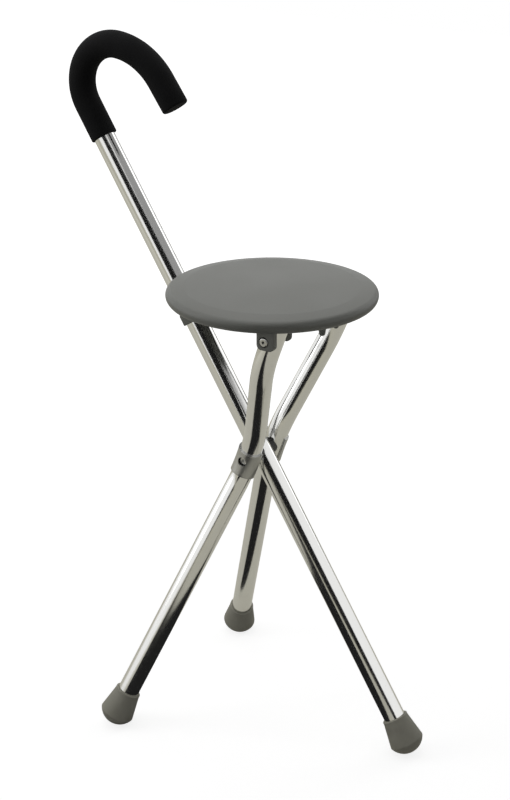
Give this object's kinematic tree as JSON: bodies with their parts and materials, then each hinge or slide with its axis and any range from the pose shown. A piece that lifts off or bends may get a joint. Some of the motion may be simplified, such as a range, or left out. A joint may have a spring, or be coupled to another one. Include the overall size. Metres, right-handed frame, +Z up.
{
  "type": "walking stick seat",
  "caption": "Crook-handled cane that opens into a three-legged stool: a round seat turns on two bent legs that cross the cane at a bolt, with rubber feet.",
  "frame": {"origin": "on the floor, under the middle of the whole open object", "axes": "+Z up; +X across the seat, along every hinge axis; +Y from the cane's foot towards its handle, so the cane lies in the plane X = 0"},
  "size_m": [0.2674, 0.4184, 0.6999],
  "materials": {
    "polished_tube": "polished and clear anodised drawn tube",
    "grip_foam": "matte closed-cell foam sleeve",
    "foot_rubber": "moulded matte grey rubber",
    "seat_plastic": "moulded with a fine matte grain",
    "saddle_plastic": "satin moulded grey",
    "spacer_plastic": "plain moulded nylon",
    "plug_plastic": "plain moulded",
    "screw_steel": "bright zinc plated",
    "sleeve_steel": "turned and plated",
    "disc_steel": "pressed, hidden inside the foot"
  },
  "bodies": {
    "cane": {"cane_tube": "polished_tube", "handle_grip": "grip_foam", "handle_end_plug": "plug_plastic", "cane_foot": "foot_rubber", "cane_foot_disc": "disc_steel", "cane_hub_sleeve": "sleeve_steel", "cane_hub_spacers": "spacer_plastic", "hub_bolt": "screw_steel", "hub_nut": "screw_steel"},
    "left_leg": {"left_leg_tube": "polished_tube", "left_hub_saddle": "saddle_plastic", "left_hub_spacer": "spacer_plastic", "left_hub_sleeve": "sleeve_steel", "left_pin_sleeve": "sleeve_steel", "left_leg_cap": "plug_plastic", "left_foot": "foot_rubber", "left_foot_disc": "disc_steel"},
    "right_leg": {"right_leg_tube": "polished_tube", "right_hub_saddle": "saddle_plastic", "right_hub_spacer": "spacer_plastic", "right_hub_sleeve": "sleeve_steel", "right_pin_sleeve": "sleeve_steel", "right_leg_cap": "plug_plastic", "right_foot": "foot_rubber", "right_foot_disc": "disc_steel"},
    "seat": {"seat_shell": "seat_plastic", "seat_pin_screws": "screw_steel", "seat_pin_nuts": "screw_steel"}
  },
  "joints": [
    {"name": "left_leg_fold", "type": "hinge", "parent": "cane", "child": "left_leg", "pos_m": [0, -0.01659, 0.2953], "axis": [1, 0, 0], "range_deg": [-50, 0]},
    {"name": "right_leg_fold", "type": "hinge", "parent": "cane", "child": "right_leg", "pos_m": [0, -0.01659, 0.2953], "axis": [1, 0, 0], "range_deg": [-50, 0]},
    {"name": "seat_fold", "type": "hinge", "parent": "left_leg", "child": "seat", "pos_m": [0, -0.07279, 0.44724], "axis": [1, 0, 0], "range_deg": [0, 106]}
  ],
  "couplings": [
    {"joint": "right_leg_fold", "follows": "left_leg_fold", "ratio": 1},
    {"joint": "seat_fold", "follows": "left_leg_fold", "ratio": -2.12}
  ]
}
